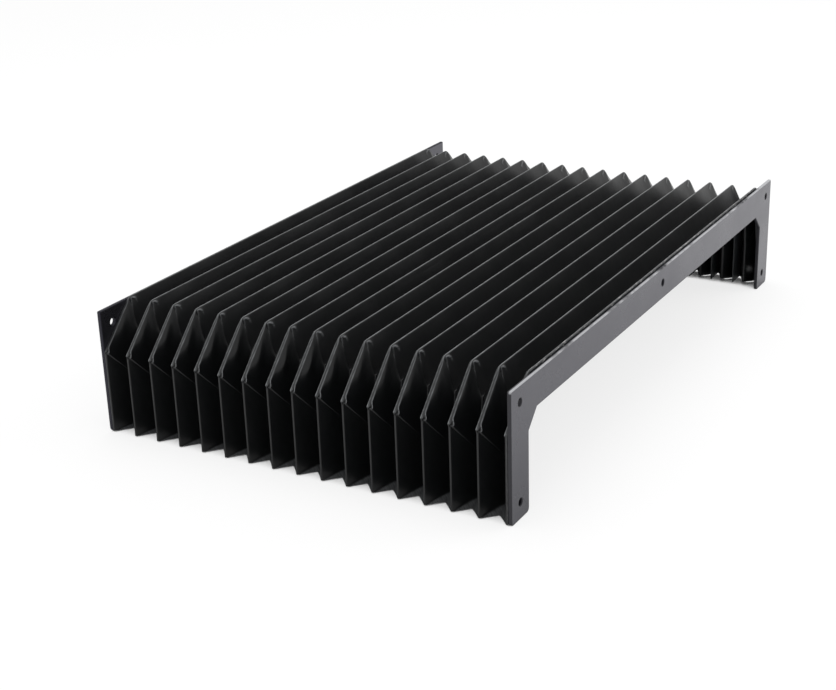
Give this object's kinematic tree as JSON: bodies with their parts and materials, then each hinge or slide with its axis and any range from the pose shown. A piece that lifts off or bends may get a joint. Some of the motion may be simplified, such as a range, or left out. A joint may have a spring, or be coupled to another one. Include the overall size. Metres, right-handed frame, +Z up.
{
  "type": "bellows way cover",
  "caption": "Pleated cloth way cover in an upside-down U between two metal end plates with fixing holes; it folds up and pulls out along a machine's guideway.",
  "frame": {"origin": "midway between the end plates, on the centre line, at the level of the plates' feet", "axes": "+X along the travel from the rear to the front end plate, +Y across the cover, +Z up"},
  "size_m": [0.35, 0.54, 0.1015],
  "materials": {
    "end_plate_metal": "dark grey satin coating on sheet metal",
    "bellows_cloth": "black coated cloth with a low sheen",
    "stiffener_plastic": "dark grey plastic sheet"
  },
  "bodies": {
    "rear_end": {"rear_end_plate": "end_plate_metal", "bellows_cloth": "bellows_cloth", "stiffener_00": "stiffener_plastic"},
    "pleat_01": {"stiffener_01": "stiffener_plastic"},
    "pleat_02": {"stiffener_02": "stiffener_plastic"},
    "pleat_03": {"stiffener_03": "stiffener_plastic"},
    "pleat_04": {"stiffener_04": "stiffener_plastic"},
    "pleat_05": {"stiffener_05": "stiffener_plastic"},
    "pleat_06": {"stiffener_06": "stiffener_plastic"},
    "pleat_07": {"stiffener_07": "stiffener_plastic"},
    "pleat_08": {"stiffener_08": "stiffener_plastic"},
    "pleat_09": {"stiffener_09": "stiffener_plastic"},
    "pleat_10": {"stiffener_10": "stiffener_plastic"},
    "pleat_11": {"stiffener_11": "stiffener_plastic"},
    "pleat_12": {"stiffener_12": "stiffener_plastic"},
    "pleat_13": {"stiffener_13": "stiffener_plastic"},
    "pleat_14": {"stiffener_14": "stiffener_plastic"},
    "pleat_15": {"stiffener_15": "stiffener_plastic"},
    "front_end": {"front_end_plate": "end_plate_metal", "stiffener_16": "stiffener_plastic"}
  },
  "joints": [
    {"name": "front_end_slide", "type": "slide", "parent": "rear_end", "child": "front_end", "axis": [1, 0, 0], "range_m": [-0.2768, 0.104], "deforming": ["bellows_cloth"]},
    {"name": "pleat_01_slide", "type": "slide", "parent": "rear_end", "child": "pleat_01", "axis": [1, 0, 0], "range_m": [-0.0173, 0.0065]},
    {"name": "pleat_02_slide", "type": "slide", "parent": "pleat_01", "child": "pleat_02", "axis": [1, 0, 0], "range_m": [-0.0173, 0.0065]},
    {"name": "pleat_03_slide", "type": "slide", "parent": "pleat_02", "child": "pleat_03", "axis": [1, 0, 0], "range_m": [-0.0173, 0.0065]},
    {"name": "pleat_04_slide", "type": "slide", "parent": "pleat_03", "child": "pleat_04", "axis": [1, 0, 0], "range_m": [-0.0173, 0.0065]},
    {"name": "pleat_05_slide", "type": "slide", "parent": "pleat_04", "child": "pleat_05", "axis": [1, 0, 0], "range_m": [-0.0173, 0.0065]},
    {"name": "pleat_06_slide", "type": "slide", "parent": "pleat_05", "child": "pleat_06", "axis": [1, 0, 0], "range_m": [-0.0173, 0.0065]},
    {"name": "pleat_07_slide", "type": "slide", "parent": "pleat_06", "child": "pleat_07", "axis": [1, 0, 0], "range_m": [-0.0173, 0.0065]},
    {"name": "pleat_08_slide", "type": "slide", "parent": "pleat_07", "child": "pleat_08", "axis": [1, 0, 0], "range_m": [-0.0173, 0.0065]},
    {"name": "pleat_15_slide", "type": "slide", "parent": "front_end", "child": "pleat_15", "axis": [1, 0, 0], "range_m": [-0.0065, 0.0173]},
    {"name": "pleat_14_slide", "type": "slide", "parent": "pleat_15", "child": "pleat_14", "axis": [1, 0, 0], "range_m": [-0.0065, 0.0173]},
    {"name": "pleat_13_slide", "type": "slide", "parent": "pleat_14", "child": "pleat_13", "axis": [1, 0, 0], "range_m": [-0.0065, 0.0173]},
    {"name": "pleat_12_slide", "type": "slide", "parent": "pleat_13", "child": "pleat_12", "axis": [1, 0, 0], "range_m": [-0.0065, 0.0173]},
    {"name": "pleat_11_slide", "type": "slide", "parent": "pleat_12", "child": "pleat_11", "axis": [1, 0, 0], "range_m": [-0.0065, 0.0173]},
    {"name": "pleat_10_slide", "type": "slide", "parent": "pleat_11", "child": "pleat_10", "axis": [1, 0, 0], "range_m": [-0.0065, 0.0173]},
    {"name": "pleat_09_slide", "type": "slide", "parent": "pleat_10", "child": "pleat_09", "axis": [1, 0, 0], "range_m": [-0.0065, 0.0173]}
  ],
  "couplings": [
    {"joint": "pleat_01_slide", "follows": "front_end_slide", "ratio": 0.0625},
    {"joint": "pleat_02_slide", "follows": "front_end_slide", "ratio": 0.0625},
    {"joint": "pleat_03_slide", "follows": "front_end_slide", "ratio": 0.0625},
    {"joint": "pleat_04_slide", "follows": "front_end_slide", "ratio": 0.0625},
    {"joint": "pleat_05_slide", "follows": "front_end_slide", "ratio": 0.0625},
    {"joint": "pleat_06_slide", "follows": "front_end_slide", "ratio": 0.0625},
    {"joint": "pleat_07_slide", "follows": "front_end_slide", "ratio": 0.0625},
    {"joint": "pleat_08_slide", "follows": "front_end_slide", "ratio": 0.0625},
    {"joint": "pleat_15_slide", "follows": "front_end_slide", "ratio": -0.0625},
    {"joint": "pleat_14_slide", "follows": "front_end_slide", "ratio": -0.0625},
    {"joint": "pleat_13_slide", "follows": "front_end_slide", "ratio": -0.0625},
    {"joint": "pleat_12_slide", "follows": "front_end_slide", "ratio": -0.0625},
    {"joint": "pleat_11_slide", "follows": "front_end_slide", "ratio": -0.0625},
    {"joint": "pleat_10_slide", "follows": "front_end_slide", "ratio": -0.0625},
    {"joint": "pleat_09_slide", "follows": "front_end_slide", "ratio": -0.0625}
  ]
}
